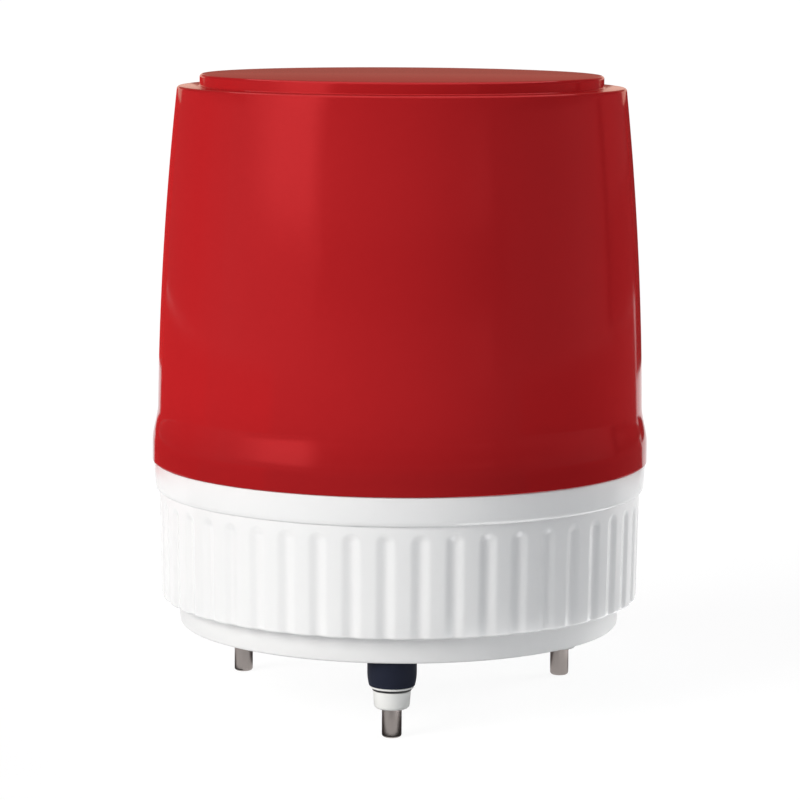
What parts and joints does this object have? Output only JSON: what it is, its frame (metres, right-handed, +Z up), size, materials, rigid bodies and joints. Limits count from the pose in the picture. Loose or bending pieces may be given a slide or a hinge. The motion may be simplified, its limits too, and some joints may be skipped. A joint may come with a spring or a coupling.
{
  "type": "xenon strobe light",
  "caption": "Round strobe warning light: glossy red drafted globe with a raised top disc, twisted onto a white fluted base that stands on rubber-bushed threaded studs.",
  "frame": {"origin": "on the light's axis, at the plane of the stud tips", "axes": "+Z up along the globe's axis, front stud towards -Y, +X to the right seen from the front"},
  "size_m": [0.1562, 0.1562, 0.1971],
  "materials": {
    "red_globe": "glossy moulded plastic",
    "white_housing": "satin moulded plastic",
    "white_cover": "satin moulded plastic",
    "navy_rubber": "satin rubber",
    "black_rubber": "matt rubber",
    "pale_nylon": "satin nylon",
    "stud_steel": "plain steel",
    "screw_steel": "zinc plated",
    "deck_white": "white paint",
    "ceramic": "glazed ceramic",
    "tube_glass": "clear glass",
    "electrode_metal": "nickel",
    "trigger_nickel": "nickel wire",
    "lead_red": "insulated wire",
    "board_green": "solder resist",
    "capacitor_blue": "shrink sleeve",
    "core_steel": "laminated steel",
    "coil_copper": "enamelled copper wire",
    "potting_black": "potted",
    "resistor_body": "cement body",
    "sink_aluminium": "extruded",
    "clip_brass": "plated brass",
    "fuse_glass": "glass with metal caps",
    "terminal_green": "moulded"
  },
  "bodies": {
    "base": {"globe_gasket": "black_rubber", "housing": "white_housing", "bottom_cover": "white_cover", "bottom_gasket": "black_rubber", "cover_screws": "screw_steel", "cable_grommet": "black_rubber", "stud_bolts": "stud_steel", "rubber_bushes": "navy_rubber", "foot_washers": "pale_nylon", "foot_seals": "black_rubber", "collar_nuts": "pale_nylon", "lamp_deck": "deck_white", "deck_screws": "screw_steel", "lamp_socket": "ceramic", "socket_screws": "screw_steel", "flash_tube": "tube_glass", "tube_electrodes": "electrode_metal", "trigger_wire": "trigger_nickel", "lamp_leads": "lead_red", "circuit_board": "board_green", "board_screws": "screw_steel", "storage_capacitors": "capacitor_blue", "transformer_core": "core_steel", "transformer_coil": "coil_copper", "trigger_coil": "potting_black", "power_resistor": "resistor_body", "thyristor": "potting_black", "heat_sink": "sink_aluminium", "rectifier": "potting_black", "fuse": "fuse_glass", "fuse_clips": "clip_brass", "terminal_block": "terminal_green", "terminal_screws": "screw_steel"},
    "globe": {"globe": "red_globe"}
  },
  "joints": [
    {"name": "globe_twist", "type": "hinge", "parent": "base", "child": "globe", "pos_m": [0, 0, 0.0761], "axis": [0, 0, 1], "range_deg": [0, 30]}
  ]
}
